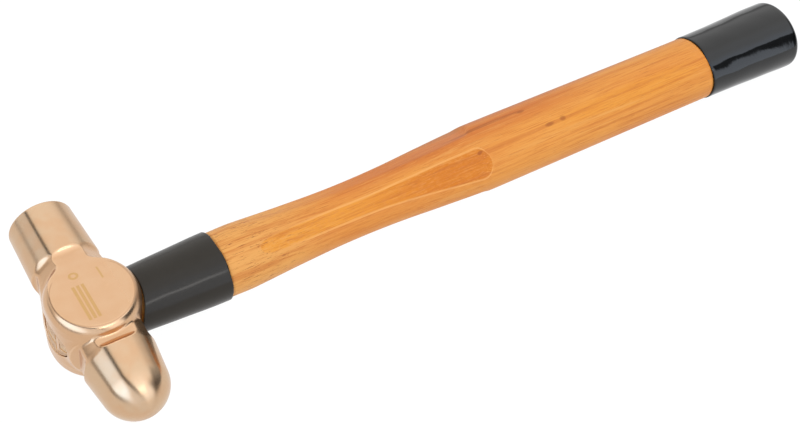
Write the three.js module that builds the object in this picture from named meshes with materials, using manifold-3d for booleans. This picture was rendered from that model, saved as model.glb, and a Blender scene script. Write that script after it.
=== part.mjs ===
// Ball-pein hammer in a non-sparking copper alloy, on a hickory handle. Millimetres, +Z up.
// The hammer lies on its side: +X runs along the handle from the head to the butt, +Y points
// from the eye to the flat striking face, and the two flat cheeks face up and down.
// The pieces are drawn about the centre of the eye. The last group moves them so that the
// origin is under the middle of the hammer, at the height of the lower cheek.

import * as THREE from 'three';
import { mergeVertices } from 'three/addons/utils/BufferGeometryUtils.js';
import Module from 'manifold-3d';

const wasm = await Module();
wasm.setup();

// ---------- driving dimensions ----------

const GAP = 0.3; // clearance between neighbouring pieces

// head, along Y from the centre of the eye
const FACE_Y = 48;
const FACE_RADIUS = 12.7;
const FACE_EDGE = 1.1;
const BARREL_NECK_Y = 21.6;
const PEIN_BALL_Y = -33;
const PEIN_BALL_RADIUS = 12.8;
const PEIN_ROOT_Y = -20;
const PEIN_ROOT_RADIUS = 14.4;
const PEIN_NECK_Y = -18.8;
const NECK_HALF_FLATS = 12.2; // half the distance across the neck's flats
const BARREL_HALF_DIAGONAL = 12.95; // and across the corner flats, on the barrel's side
const PEIN_HALF_DIAGONAL = 13.9;
const NECK_FILLET = 3.2;

// turned radius of the neck that swells under the cheeks, and how far the flats climb there
const NECK_SWELL = [
  [PEIN_ROOT_Y, PEIN_ROOT_RADIUS],
  [0, 16.4],
  [10, 16.4],
  [14, 15.6],
  [18, 14.4],
  [BARREL_NECK_Y, 13.8],
];
const SHOULDER_RISE = 4.3;
const SHOULDER_START_Y = 2;

// eye boss, a round body about Z with a flat cheek at each end
const HALF_THICKNESS = 16.2;
const BOSS_RADIUS = 17.3;
const RIM_HALF_AXES = [4.2, 5]; // the rim's oval rounding, cut off by the cheek
const RIM_CENTRE = [BOSS_RADIUS - RIM_HALF_AXES[0], 11.49];

// oval eye along X, waisted in the middle: half-lengths along Y and Z
const EYE_WAIST = [9.7, 6.5];
const EYE_CROWN = [10.5, 7.1];
const EYE_UNDER = [10.1, 6.8];

// handle stations along X
const TENON_END_X = -16.8;
const TENON_ROOT_X = BOSS_RADIUS + 1;
const SHOULDER_X = 25;
const SLEEVE_START_X = 10;
const SLEEVE_END_X = 49.9;
const DIP_START_X = 283.3;
const BUTT_X = 332.4;
const BUTT_EDGE = 3;

// wall thickness of the rubber sleeve and of the dipped coat
const SLEEVE_WALL = 0.9;
const DIP_WALL = 0.8;

// wedges: depth into the tenon, and half-thickness at the crown and at the tip
const EYE_WEDGE_DEPTH = 22;
const EYE_WEDGE_HALF = [1.3, 0.35];
const CROSS_WEDGE_Y = 4.6;
const CROSS_WEDGE_DEPTH = 11;
const CROSS_WEDGE_HALF = [0.9, 0.3];
const CROSS_WEDGE_HALF_WIDTH = 4.4;

// fineness
const ROUND_SIDES = 40;
const OVAL_SIDES = 40;
const SAW_RUN = 1; // how far the wedges and their slots start outside the crown

// ---------- materials ----------

const bronze = new THREE.MeshStandardMaterial({ color: 0xd9a679, roughness: 0.3, metalness: 1 });
const wedgeBronze = new THREE.MeshStandardMaterial({ color: 0xc09468, roughness: 0.45, metalness: 1 });
const hickory = new THREE.MeshStandardMaterial({ color: 0xe3984f, roughness: 0.45, metalness: 0 });
const wedgeWood = new THREE.MeshStandardMaterial({ color: 0xcfa772, roughness: 0.7, metalness: 0 });
const rubber = new THREE.MeshStandardMaterial({ color: 0x2b2a27, roughness: 0.6, metalness: 0 });
const dipCoat = new THREE.MeshStandardMaterial({ color: 0x0b0b0b, roughness: 0.12, metalness: 0 });

// ---------- solids ----------

function toSolid(geometry) {
  const bare = geometry.clone();
  bare.deleteAttribute('normal');
  bare.deleteAttribute('uv');
  const merged = mergeVertices(bare, 1e-4);
  const vertProperties = new Float32Array(merged.attributes.position.array);
  const triVerts = new Uint32Array(merged.index.array);
  return new wasm.Manifold(new wasm.Mesh({ numProp: 3, vertProperties, triVerts }));
}

function toGeometry(solid) {
  const mesh = solid.getMesh();
  const geometry = new THREE.BufferGeometry();
  const position = new THREE.BufferAttribute(new Float32Array(mesh.vertProperties), 3);
  geometry.setAttribute('position', position);
  geometry.setIndex(new THREE.BufferAttribute(new Uint32Array(mesh.triVerts), 1));
  geometry.computeVertexNormals();
  return geometry;
}

// A closed skin over rings of equal length, with a fan across the first and the last ring.
// Each ring is a list of Vector3 that turns anticlockwise as seen from the last ring's side.
function loft(rings) {
  const sides = rings[0].length;
  const points = rings.flat();
  const faces = [];
  for (let r = 0; r + 1 < rings.length; r++) {
    for (let i = 0; i < sides; i++) {
      const a = r * sides + i;
      const b = r * sides + ((i + 1) % sides);
      faces.push(a, b, b + sides, a, b + sides, a + sides);
    }
  }
  const last = (rings.length - 1) * sides;
  for (let i = 1; i + 1 < sides; i++) {
    faces.push(0, i + 1, i);
    faces.push(last, last + i, last + i + 1);
  }
  const geometry = new THREE.BufferGeometry().setFromPoints(points);
  geometry.setIndex(faces);
  return geometry;
}

// An oval ring across X. A share of the half-width is shaved off as four flats, each facing
// round from Z by lean.
function ovalRing(x, halfY, halfZ, lean = 0, share = 0) {
  const ring = [];
  for (let i = 0; i < OVAL_SIDES; i++) {
    const angle = (2 * Math.PI * i) / OVAL_SIDES;
    const y = Math.cos(angle);
    const z = Math.sin(angle);
    const height = Math.abs(y) * Math.sin(lean) + Math.abs(z) * Math.cos(lean);
    const keep = share > 0 ? Math.min(1, (1 - share) / height) : 1;
    ring.push(new THREE.Vector3(x, halfY * keep * y, halfZ * keep * z));
  }
  return ring;
}

// A block that tapers along X between two rectangles centred on (y, 0).
function taperedBlock(startX, endX, y, startHalf, endHalf) {
  const corners = [[1, 1], [-1, 1], [-1, -1], [1, -1]];
  const ring = (x, half) => corners.map(([sy, sz]) => new THREE.Vector3(x, y + sy * half[0], sz * half[1]));
  return loft([ring(startX, startHalf), ring(endX, endHalf)]);
}

// A curve through [x, value] pairs, level at both ends and smooth between them.
function profile(pairs) {
  return (x) => {
    if (x <= pairs[0][0]) return pairs[0][1];
    for (let i = 0; i + 1 < pairs.length; i++) {
      const [x0, v0] = pairs[i];
      const [x1, v1] = pairs[i + 1];
      if (x <= x1) {
        const slope = (k) => {
          if (k <= 0 || k >= pairs.length - 1) return 0;
          return (pairs[k + 1][1] - pairs[k - 1][1]) / (pairs[k + 1][0] - pairs[k - 1][0]);
        };
        const span = x1 - x0;
        const t = (x - x0) / span;
        const h00 = (1 + 2 * t) * (1 - t) ** 2;
        const h10 = t * (1 - t) ** 2;
        const h01 = t * t * (3 - 2 * t);
        const h11 = t * t * (t - 1);
        return h00 * v0 + h10 * span * slope(i) + h01 * v1 + h11 * span * slope(i + 1);
      }
    }
    return pairs[pairs.length - 1][1];
  };
}

function steps(from, to, count) {
  return Array.from({ length: count + 1 }, (_, i) => from + ((to - from) * i) / count);
}

// ---------- head ----------

// Barrel, necks and ball pein, turned about Y. The ball runs tangent into the tapered pein.
function turnedBody() {
  const outline = [new THREE.Vector2(0, FACE_Y)];
  for (const turn of steps(0, Math.PI / 2, 3)) {
    outline.push(new THREE.Vector2(
      FACE_RADIUS - FACE_EDGE * (1 - Math.sin(turn)),
      FACE_Y - FACE_EDGE * (1 - Math.cos(turn)),
    ));
  }
  for (const [y, radius] of [...NECK_SWELL].reverse()) {
    outline.push(new THREE.Vector2(radius, y));
  }
  const run = PEIN_ROOT_Y - PEIN_BALL_Y;
  const reach = Math.hypot(run, PEIN_ROOT_RADIUS);
  const tangent = Math.atan2(PEIN_ROOT_RADIUS, run) + Math.acos(PEIN_BALL_RADIUS / reach);
  for (const turn of steps(tangent, Math.PI, 8).slice(0, -1)) {
    outline.push(new THREE.Vector2(
      PEIN_BALL_RADIUS * Math.sin(turn),
      PEIN_BALL_Y + PEIN_BALL_RADIUS * Math.cos(turn),
    ));
  }
  outline.push(new THREE.Vector2(0, PEIN_BALL_Y - PEIN_BALL_RADIUS));
  return new THREE.LatheGeometry(outline.reverse(), ROUND_SIDES);
}

// How far the flats climb at y, from the barrel's neck up to the cheeks.
function shoulderRise(y) {
  const share = THREE.MathUtils.clamp((y - SHOULDER_START_Y) / (BARREL_NECK_Y - SHOULDER_START_Y), 0, 1);
  return SHOULDER_RISE * (1 - share ** 1.5) ** 1.15;
}

// The concave fillet that ends a flat: [distance past the neck, added depth].
function fillet() {
  return steps(0, Math.PI / 2, 6).map((turn) => [
    NECK_FILLET * Math.sin(turn),
    NECK_FILLET * (1 - Math.cos(turn)),
  ]);
}

// Eight flats that hug the necks and flare past the barrel and the pein in a concave fillet,
// so that each flat ends in a scalloped shoulder. The flat beside the sleeve doesn't climb.
function neckEnvelope() {
  const clear = 2 * BOSS_RADIUS;
  const wide = (y) => [y, clear, clear, clear];
  const narrow = (y) => [y, NECK_HALF_FLATS, PEIN_HALF_DIAGONAL, NECK_HALF_FLATS];
  const climbing = (y) => {
    const rise = shoulderRise(y);
    return [y, NECK_HALF_FLATS + rise, BARREL_HALF_DIAGONAL + 0.7 * rise, NECK_HALF_FLATS];
  };
  const flared = ([y, ...halves], along, added) => [y + along, ...halves.map((h) => h + added)];
  const pein = narrow(PEIN_NECK_Y);
  const barrel = climbing(BARREL_NECK_Y);
  const stations = [
    wide(PEIN_BALL_Y - clear),
    wide(PEIN_NECK_Y - NECK_FILLET - GAP),
    ...fillet().map(([along, added]) => flared(pein, -along, added)).reverse(),
    narrow(-14),
    ...steps(-11, SHOULDER_START_Y, 1).map(climbing),
    ...steps(SHOULDER_START_Y, BARREL_NECK_Y, 8).slice(1, -1).map(climbing),
    ...fillet().map(([along, added]) => flared(barrel, along, added)),
    wide(BARREL_NECK_Y + NECK_FILLET + GAP),
    wide(FACE_Y + clear),
  ];
  const rings = stations.map(([y, flat, diagonal, besideSleeve]) => {
    const reach = diagonal * Math.SQRT2;
    const quarter = [[reach - flat, flat], [besideSleeve, reach - besideSleeve]];
    const farQuarter = [[reach - flat, flat], [flat, reach - flat]];
    const ring = [
      ...quarter,
      ...quarter.map(([x, z]) => [x, -z]).reverse(),
      ...farQuarter.map(([x, z]) => [-x, -z]),
      ...farQuarter.map(([x, z]) => [-x, z]).reverse(),
    ];
    return ring.map(([x, z]) => new THREE.Vector3(x, y, z));
  });
  return loft(rings);
}

// What is left between the two cheek planes. On the barrel's side the neck flats cut into the
// boss as they climb to the cheeks.
function cheekEnvelope() {
  const clear = 2 * BOSS_RADIUS;
  const climb = steps(SHOULDER_START_Y, BARREL_NECK_Y, 8).map((y) => [y, shoulderRise(y)]);
  const flare = fillet().slice(1).map(([along, added]) => [BARREL_NECK_Y + along, added]);
  const stations = [
    [PEIN_BALL_Y - clear, HALF_THICKNESS],
    ...[...climb, ...flare].map(([y, added]) => [y, Math.min(HALF_THICKNESS, NECK_HALF_FLATS + added)]),
    [BARREL_NECK_Y + NECK_FILLET + GAP, HALF_THICKNESS],
    [FACE_Y + clear, HALF_THICKNESS],
  ];
  const rings = stations.map(([y, halfZ]) => {
    const corners = [[1, 1], [1, -1], [-1, -1], [-1, 1]];
    return corners.map(([sx, sz]) => new THREE.Vector3(sx * clear, y, sz * halfZ));
  });
  return loft(rings);
}

// Round eye boss about Z, with a flat cheek at each end inside a rounded rim.
function eyeBoss() {
  const [rimX, rimZ] = RIM_HALF_AXES;
  const toCheek = Math.asin((HALF_THICKNESS - RIM_CENTRE[1]) / rimZ);
  const rim = steps(0, toCheek, 6).map((turn) => [
    RIM_CENTRE[0] + rimX * Math.cos(turn),
    RIM_CENTRE[1] + rimZ * Math.sin(turn),
  ]);
  const outline = [
    new THREE.Vector2(0, -HALF_THICKNESS),
    ...rim.map(([r, z]) => new THREE.Vector2(r, -z)).reverse(),
    ...rim.map(([r, z]) => new THREE.Vector2(r, z)),
    new THREE.Vector2(0, HALF_THICKNESS),
  ];
  return new THREE.LatheGeometry(outline, ROUND_SIDES).rotateX(Math.PI / 2);
}

// The eye's half-lengths at x, less a clearance.
function eyeHalf(x, inset = 0) {
  const end = x < 0 ? EYE_CROWN : EYE_UNDER;
  const share = Math.min(1, Math.abs(x) / BOSS_RADIUS);
  return EYE_WAIST.map((waist, k) => waist + (end[k] - waist) * share ** 2 - inset);
}

function eyeHole() {
  return loft(steps(-BOSS_RADIUS - 2, BOSS_RADIUS + 2, 6).map((x) => ovalRing(x, ...eyeHalf(x))));
}

function headGeometry() {
  const turned = toSolid(turnedBody()).intersect(toSolid(neckEnvelope()));
  const body = turned.add(toSolid(eyeBoss())).intersect(toSolid(cheekEnvelope()));
  return toGeometry(body.subtract(toSolid(eyeHole())));
}

// ---------- handle ----------

// Half-width along Y of the sleeve, the bare wood and the dipped coat.
const sleeveHalfY = profile([[SLEEVE_START_X, 12.6], [30, 13.4], [SLEEVE_END_X, 14.2]]);
const woodHalfY = profile([
  [SLEEVE_END_X, 13.35],
  [59, 13.5],
  [63, 13.35],
  [82, 12.35],
  [103, 11.7],
  [125, 12.1],
  [147, 13.5],
  [166, 14.8],
  [178, 14.9],
  [200, 14.85],
  [DIP_START_X, 14.65],
]);
const dipHalfY = profile([[DIP_START_X, 15.05], [BUTT_X - BUTT_EDGE, 16]]);

// Half-height over half-width of the oval section.
const ovality = profile([[0, 0.93], [50, 0.93], [160, 0.87], [BUTT_X, 0.87]]);

// Four long flats shaved off the waist: how far each faces round from Z in radians, and its
// depth as a share of the half-width.
const flatLean = profile([[66, 0.58], [117, 0.6], [140, 0.65], [162, 0.73], [175, 0.75]]);
const flatShare = profile([
  [60, -0.05],
  [66, 0.012],
  [75, 0.032],
  [97, 0.044],
  [117, 0.047],
  [138, 0.076],
  [160, 0.115],
  [165, 0.105],
  [170.5, -0.05],
]);

function woodRing(x, halfY) {
  return ovalRing(x, halfY, halfY * ovality(x), flatLean(x), flatShare(x));
}

// The dipped coat's half-width at x, turned in around the butt's edge.
function dipOuterHalf(x) {
  const into = THREE.MathUtils.clamp((x - (BUTT_X - BUTT_EDGE)) / BUTT_EDGE, 0, 1);
  return dipHalfY(x) - BUTT_EDGE * (1 - Math.sqrt(1 - into ** 2));
}

function dipRing(x, inset) {
  const half = dipOuterHalf(x);
  return ovalRing(x, half - inset, half * ovality(x) - inset);
}

function sleeveRing(x, inset) {
  const half = sleeveHalfY(x);
  return ovalRing(x, half - inset, half * ovality(x) - inset);
}

function handleBlank() {
  const underSleeve = SLEEVE_WALL + GAP;
  const underDip = DIP_WALL + GAP;
  const woodEndX = BUTT_X - underDip;
  const tenon = steps(TENON_END_X - SAW_RUN, TENON_ROOT_X, 5);
  const guarded = steps(SHOULDER_X, SLEEVE_END_X + GAP, 3);
  const bare = steps(SLEEVE_END_X + 2 * GAP, DIP_START_X - 2 * GAP, 48);
  const dipped = steps(DIP_START_X - GAP, BUTT_X - BUTT_EDGE, 2);
  const turnedIn = steps(BUTT_X - BUTT_EDGE, woodEndX, 3).slice(1);
  return loft([
    ...tenon.map((x) => ovalRing(x, ...eyeHalf(x, GAP))),
    ...guarded.map((x) => sleeveRing(x, underSleeve)),
    ...bare.map((x) => woodRing(x, woodHalfY(x))),
    ...dipped.map((x) => dipRing(x, underDip)),
    ...turnedIn.map((x) => dipRing(x, underDip)),
  ]);
}

function eyeWedgeBlank() {
  const halfY = EYE_WAIST[0] - 3 * GAP;
  const [crown, tip] = EYE_WEDGE_HALF;
  const tipX = TENON_END_X + EYE_WEDGE_DEPTH;
  return taperedBlock(TENON_END_X - SAW_RUN, tipX, 0, [halfY, crown], [halfY, tip]);
}

// The saw kerf, right across the tenon.
function kerf() {
  const across = 2 * EYE_CROWN[0];
  const half = EYE_WEDGE_HALF.map((h) => h + GAP);
  const bottomX = TENON_END_X + EYE_WEDGE_DEPTH + GAP;
  return taperedBlock(TENON_END_X - SAW_RUN - GAP, bottomX, 0, [across, half[0]], [across, half[1]]);
}

// A cross wedge, or with a clearance the slot that it sits in.
function crossWedgeBlank(y, clearance) {
  const startX = TENON_END_X - SAW_RUN - clearance;
  const tipX = TENON_END_X + CROSS_WEDGE_DEPTH + clearance;
  const halfZ = CROSS_WEDGE_HALF_WIDTH + clearance;
  const half = CROSS_WEDGE_HALF.map((h) => h + clearance);
  return taperedBlock(startX, tipX, y, [half[0], halfZ], [half[1], halfZ]);
}

function cutCrossSlots(solid) {
  const near = toSolid(crossWedgeBlank(-CROSS_WEDGE_Y, GAP));
  const far = toSolid(crossWedgeBlank(CROSS_WEDGE_Y, GAP));
  return solid.subtract(near).subtract(far);
}

// The tenon and its wedges are dressed at the crown to follow the round boss.
function dressCrown(solid) {
  const radius = -TENON_END_X;
  const drum = new THREE.CylinderGeometry(radius, radius, 4 * HALF_THICKNESS, ROUND_SIDES);
  const stock = new THREE.BoxGeometry(radius, 2 * radius, 2 * HALF_THICKNESS);
  const waste = toSolid(stock.translate(-radius, 0, 0)).subtract(toSolid(drum.rotateX(Math.PI / 2)));
  return solid.subtract(waste);
}

function handleGeometry() {
  const sawn = toSolid(handleBlank()).subtract(toSolid(kerf()));
  return toGeometry(dressCrown(cutCrossSlots(sawn)));
}

function eyeWedgeGeometry() {
  return toGeometry(dressCrown(cutCrossSlots(toSolid(eyeWedgeBlank()))));
}

function crossWedgeGeometry(y) {
  return toGeometry(dressCrown(toSolid(crossWedgeBlank(y, 0))));
}

// ---------- sleeve and dipped butt ----------

// A tube over the handle. Its head end is scooped out to follow the round boss.
function sleeveGeometry() {
  const outer = toSolid(loft(steps(SLEEVE_START_X, SLEEVE_END_X, 5).map((x) => sleeveRing(x, 0))));
  const boreSpan = steps(SLEEVE_START_X - 1, SLEEVE_END_X + 1, 6);
  const bore = toSolid(loft(boreSpan.map((x) => sleeveRing(x, SLEEVE_WALL))));
  const scoop = new THREE.CylinderGeometry(
    BOSS_RADIUS + GAP,
    BOSS_RADIUS + GAP,
    3 * HALF_THICKNESS,
    ROUND_SIDES,
  ).rotateX(Math.PI / 2);
  return toGeometry(outer.subtract(bore).subtract(toSolid(scoop)));
}

function dipGeometry() {
  const straight = steps(DIP_START_X, BUTT_X - BUTT_EDGE, 3);
  const edge = steps(0, Math.PI / 2, 5).slice(1);
  const turnedIn = edge.map((turn) => BUTT_X - BUTT_EDGE * (1 - Math.sin(turn)));
  const outer = [...straight, ...turnedIn].map((x) => dipRing(x, 0));
  const floorX = BUTT_X - DIP_WALL;
  const boreSpan = [DIP_START_X - 1, ...straight, ...steps(BUTT_X - BUTT_EDGE, floorX, 3).slice(1)];
  const bore = boreSpan.map((x) => dipRing(x, DIP_WALL));
  return toGeometry(toSolid(loft(outer)).subtract(toSolid(loft(bore))));
}

// ---------- assembly ----------

function piece(name, geometry, material) {
  const mesh = new THREE.Mesh(geometry, material);
  mesh.name = name;
  return mesh;
}

const pieces = new THREE.Group();
pieces.add(
  piece('hammer_head', headGeometry(), bronze),
  piece('handle', handleGeometry(), hickory),
  piece('eye_wedge', eyeWedgeGeometry(), wedgeWood),
  piece('cross_wedge_near', crossWedgeGeometry(-CROSS_WEDGE_Y), wedgeBronze),
  piece('cross_wedge_far', crossWedgeGeometry(CROSS_WEDGE_Y), wedgeBronze.clone()),
  piece('overstrike_sleeve', sleeveGeometry(), rubber),
  piece('butt_dip', dipGeometry(), dipCoat),
);
pieces.position.set(
  -(BUTT_X - BOSS_RADIUS) / 2,
  -(FACE_Y + PEIN_BALL_Y - PEIN_BALL_RADIUS) / 2,
  HALF_THICKNESS,
);

const hammer = new THREE.Group();
hammer.add(pieces);

export default hammer;
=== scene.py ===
"""Looks for the ball-pein hammer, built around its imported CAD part.

Shapes are drawn in millimetres about the centre of the eye, with +X along the handle to the
butt, +Y to the flat face and +Z up, and are then moved to the row frame in metres.
"""

import math

import bpy
import numpy as np
from mathutils import Matrix, Vector


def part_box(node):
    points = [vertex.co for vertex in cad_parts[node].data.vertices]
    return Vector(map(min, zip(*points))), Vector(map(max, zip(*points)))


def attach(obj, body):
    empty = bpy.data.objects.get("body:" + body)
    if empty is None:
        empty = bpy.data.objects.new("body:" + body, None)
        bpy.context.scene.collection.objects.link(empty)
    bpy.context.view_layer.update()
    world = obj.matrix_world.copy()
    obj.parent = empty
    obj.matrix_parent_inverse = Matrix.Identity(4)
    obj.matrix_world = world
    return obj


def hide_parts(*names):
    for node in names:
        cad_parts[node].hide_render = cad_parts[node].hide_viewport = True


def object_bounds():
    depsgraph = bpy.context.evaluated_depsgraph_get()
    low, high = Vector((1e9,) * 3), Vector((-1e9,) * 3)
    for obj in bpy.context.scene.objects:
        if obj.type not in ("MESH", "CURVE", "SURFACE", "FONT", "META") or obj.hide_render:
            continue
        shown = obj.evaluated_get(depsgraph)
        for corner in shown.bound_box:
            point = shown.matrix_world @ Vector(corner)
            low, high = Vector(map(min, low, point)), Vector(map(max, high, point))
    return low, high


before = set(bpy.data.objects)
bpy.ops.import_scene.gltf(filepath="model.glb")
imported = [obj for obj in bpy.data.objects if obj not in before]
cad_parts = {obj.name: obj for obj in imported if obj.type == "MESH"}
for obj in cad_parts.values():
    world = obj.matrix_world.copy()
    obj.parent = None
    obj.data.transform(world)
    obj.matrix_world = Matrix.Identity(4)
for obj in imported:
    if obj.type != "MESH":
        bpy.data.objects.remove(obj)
cad_low, cad_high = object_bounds()

MM = 0.001

# ---------- dimensions, in millimetres ----------

GAP = 0.3

FACE_Y = 48.0
FACE_RADIUS = 12.7
FACE_EDGE = 1.1
BARREL_ROOT_RADIUS = 13.8
BARREL_NECK_Y = 21.6
PEIN_BALL_Y = -33.0
PEIN_BALL_RADIUS = 12.8
PEIN_ROOT_Y = -20.0
PEIN_ROOT_RADIUS = 14.4
PEIN_NECK_Y = -18.8
NECK_FLAT = 12.2
NECK_CORNER = 12.95

# the corner flats are cut less deep on the pein side, and run a little past both ends
PEIN_CORNER_EXTRA = {"crown": 1.2, "butt": 1.7}
CORNER_OVERRUN = {"pein": 0.3, "barrel": 0.9}
FLAT_FILLET = 3.2

# how far the neck's flats climb on to the cheek, where that starts, and the curve of the climb
SHOULDER_RISE = 4.3
SHOULDER_START_Y = 2.0
SHOULDER_CURVE = (1.5, 1.15)
SHOULDER_FADE_Y = -14.0
SHOULDER_FADE_RUN = 3.0
CORNER_RISE_SHARE = 0.7
SHOULDER_MARGIN = 1.5
SHOULDER_MARGIN_RUN = 4

# radius of the neck's round stock along Y, before its flats are cut
NECK_SWELL = (
    (PEIN_ROOT_Y, PEIN_ROOT_RADIUS),
    (0.0, 16.4),
    (10.0, 16.4),
    (14.0, 15.6),
    (18.0, 14.4),
    (BARREL_NECK_Y, BARREL_ROOT_RADIUS),
)

# which of the eight flats faces the handle; that one stays level, clear of the sleeve
FLAT_BY_SLEEVE = 2

# how softly two faces of the head meet
CRISP = 0.35
BARREL_CORNER_SOFT, PEIN_CORNER_SOFT = 0.7, 1.6
BARREL_BOSS_SOFT, PEIN_BOSS_SOFT = 2.2, 1.2
CHEEK_SOFT = 0.6
EYE_SOFT = 0.5

# a field value that cuts nothing away
DEEP_INSIDE = -9.0

# the box that the head's surface is sought in, and the size of one cell
HEAD_BOX = ((-18.6, -47.1, -17.3), (18.6, 49.3, 17.3))
HEAD_CELL, HEAD_CELL_QUICK = 0.36, 0.7
ON_LATHE_WITHIN = 0.05

HALF_THICKNESS = 16.2
BOSS_RADIUS = 17.3
BOSS_SQUARENESS = 2.3
SQUARE_DEPTH = 7.0
RIM_HALF_AXES = (4.2, 5.0)
RIM_CENTRE = (13.1, 11.49)

EYE_WAIST = (9.7, 6.5)
EYE_CROWN = (10.5, 7.1)
EYE_UNDER = (10.1, 6.8)

TENON_END_X = -16.8
TENON_ROOT_X = BOSS_RADIUS + 1
SHOULDER_X = 25.0
SLEEVE_START_X = 10.0
SLEEVE_END_X = 49.9
DIP_START_X = 283.3
BUTT_X = 332.4
BUTT_EDGE = 3.0
SLEEVE_WALL = 0.9
DIP_WALL = 0.8

EYE_WEDGE_DEPTH = 22.0
EYE_WEDGE_HALF = (1.3, 0.35)
CROSS_WEDGE_Y = 4.6
CROSS_WEDGE_DEPTH = 11.0
CROSS_WEDGE_HALF = (0.9, 0.3)
CROSS_WEDGE_HALF_WIDTH = 4.4
CROWN_HALF_TURN = 1.2
CROWN_HALF_Z = 12

head_low, head_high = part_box("hammer_head")
EYE = Vector((
    head_low.x + BOSS_RADIUS * MM,
    head_high.y - FACE_Y * MM,
    (head_low.z + head_high.z) / 2,
))


# ---------- mesh helpers ----------

def link_object(name, data):
    """A new object in the scene."""
    made = bpy.data.objects.new(name, data)
    bpy.context.scene.collection.objects.link(made)
    return made


def set_attribute(mesh, label, values):
    layer = mesh.attributes.new(label, "FLOAT", "POINT")
    layer.data.foreach_set("value", np.asarray(values, np.float32))


def add_mesh(name, points, faces, normals=None, attributes=None):
    """A smooth-shaded mesh object from points in millimetres about the eye."""
    mesh = bpy.data.meshes.new(name)
    placed = np.asarray(points, float) * MM + np.array(EYE)
    mesh.from_pydata(placed.tolist(), [], [list(map(int, f)) for f in faces])
    mesh.validate()
    mesh.update()
    mesh.polygons.foreach_set("use_smooth", [True] * len(mesh.polygons))
    for label, values in (attributes or {}).items():
        set_attribute(mesh, label, values)
    if normals is not None:
        mesh.normals_split_custom_set_from_vertices(normals.tolist())
    return link_object(name, mesh)


def loft(rings, closed=False):
    """Points and faces of a skin over rings of equal length, capped by one face at each end.

    A closed loft joins the last ring back to the first and has no caps.
    """
    sides = len(rings[0])
    points = np.concatenate([np.asarray(r, float) for r in rings])
    faces = []
    spans = len(rings) if closed else len(rings) - 1
    for r in range(spans):
        base, above = r * sides, ((r + 1) % len(rings)) * sides
        for i in range(sides):
            j = (i + 1) % sides
            faces.append((base + i, base + j, above + j, above + i))
    if not closed:
        top = (len(rings) - 1) * sides
        faces.append(tuple(range(sides - 1, -1, -1)))
        faces.append(tuple(range(top, top + sides)))
    return points, faces


def profile(pairs):
    """A curve through (x, value) pairs, level at both ends and smooth between them."""
    xs = np.array([p[0] for p in pairs], float)
    vs = np.array([p[1] for p in pairs], float)
    slopes = np.zeros(len(xs))
    slopes[1:-1] = (vs[2:] - vs[:-2]) / (xs[2:] - xs[:-2])

    def value(x):
        x = np.clip(x, xs[0], xs[-1])
        i = np.clip(np.searchsorted(xs, x, side="right") - 1, 0, len(xs) - 2)
        span = xs[i + 1] - xs[i]
        t = (x - xs[i]) / span
        return (
            (1 + 2 * t) * (1 - t) ** 2 * vs[i]
            + t * (1 - t) ** 2 * span * slopes[i]
            + t * t * (3 - 2 * t) * vs[i + 1]
            + t * t * (t - 1) * span * slopes[i + 1]
        )

    return value


def smooth_max(a, b, r):
    """The larger of two fields, with the edge between them rounded over about r."""
    h = np.maximum(r - np.abs(a - b), 0.0) / r
    return np.maximum(a, b) + h * h * r / 4


def smooth_min(a, b, r):
    return -smooth_max(-a, -b, r)


def polygonise(field, low, high, cell):
    """Points and quads of the surface where the field is zero, as a surface net."""
    axes = [np.arange(lo, hi + cell, cell) for lo, hi in zip(low, high)]
    grid = np.stack(np.meshgrid(*axes, indexing="ij"), axis=-1)
    value = field(grid)
    inside = value < 0
    shape = tuple(n - 1 for n in value.shape)
    total = np.zeros(shape + (3,))
    count = np.zeros(shape)
    crossings = []
    for a in range(3):
        near = [slice(None)] * 3
        far = [slice(None)] * 3
        near[a], far[a] = slice(0, -1), slice(1, None)
        near, far = tuple(near), tuple(far)
        cross = inside[near] != inside[far]
        step = np.where(cross, value[near] / np.where(cross, value[near] - value[far], 1.0), 0.0)
        where = grid[near].copy()
        where[..., a] += step * cell
        crossings.append((cross, inside[near]))
        b, c = [k for k in range(3) if k != a]
        for db in (0, 1):
            for dc in (0, 1):
                part = [slice(None)] * 3
                part[b] = slice(db, db + shape[b])
                part[c] = slice(dc, dc + shape[c])
                part = tuple(part)
                total += where[part] * cross[part][..., None]
                count += cross[part]
    used = count > 0
    index = np.full(shape, -1)
    index[used] = np.arange(used.sum())
    points = total[used] / count[used][:, None]
    faces = []
    for a, (cross, starts_inside) in enumerate(crossings):
        b, c = [(a + 1) % 3, (a + 2) % 3]
        cells = np.argwhere(cross)
        keep = np.all([cells[:, k] > 0 for k in (b, c)], axis=0)
        keep &= np.all([cells[:, k] < shape[k] for k in (b, c)], axis=0)
        cells = cells[keep]
        quad = []
        for db, dc in ((-1, -1), (0, -1), (0, 0), (-1, 0)):
            at = cells.copy()
            at[:, b] += db
            at[:, c] += dc
            quad.append(index[at[:, 0], at[:, 1], at[:, 2]])
        quad = np.stack(quad, axis=1)
        outward = starts_inside[tuple(cells.T)]
        faces.append(np.where(outward[:, None], quad, quad[:, ::-1]))
    return points, np.concatenate(faces)


def slope_of(field, points, h=0.02):
    """The field's gradient and Laplacian at points."""
    gradient = np.zeros_like(points)
    laplacian = -6 * field(points)
    for k in range(3):
        step = np.zeros(3)
        step[k] = h
        ahead, behind = field(points + step), field(points - step)
        gradient[:, k] = (ahead - behind) / (2 * h)
        laplacian += ahead + behind
    return gradient, laplacian / (h * h)


# ---------- head ----------

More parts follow.
